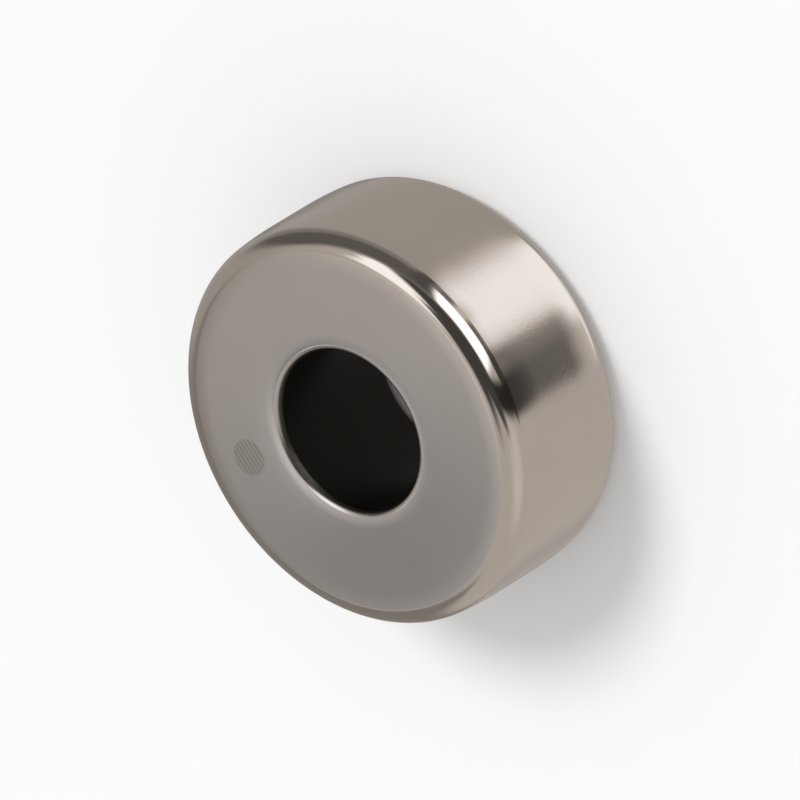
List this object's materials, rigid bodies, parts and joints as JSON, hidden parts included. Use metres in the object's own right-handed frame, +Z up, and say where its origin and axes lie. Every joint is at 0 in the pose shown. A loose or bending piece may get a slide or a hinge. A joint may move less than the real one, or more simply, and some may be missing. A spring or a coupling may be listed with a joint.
{
  "type": "ring magnet",
  "caption": "Nickel-plated sintered ring magnet with a straight through bore, flat pole faces, rounded outer edges and smaller rounded bore mouths.",
  "frame": {"origin": "middle of the lower flat pole face, which the ring stands on", "axes": "+Z up along the bore, from the plain pole face to the marked one; the ring is round about Z, and the mark lies towards -X"},
  "size_m": [0.015, 0.015, 0.006],
  "materials": {
    "nickel_plate": "satin nickel plating, grey with a warm tint"
  },
  "bodies": {
    "root": {"ring_magnet": "nickel_plate"}
  },
  "joints": []
}
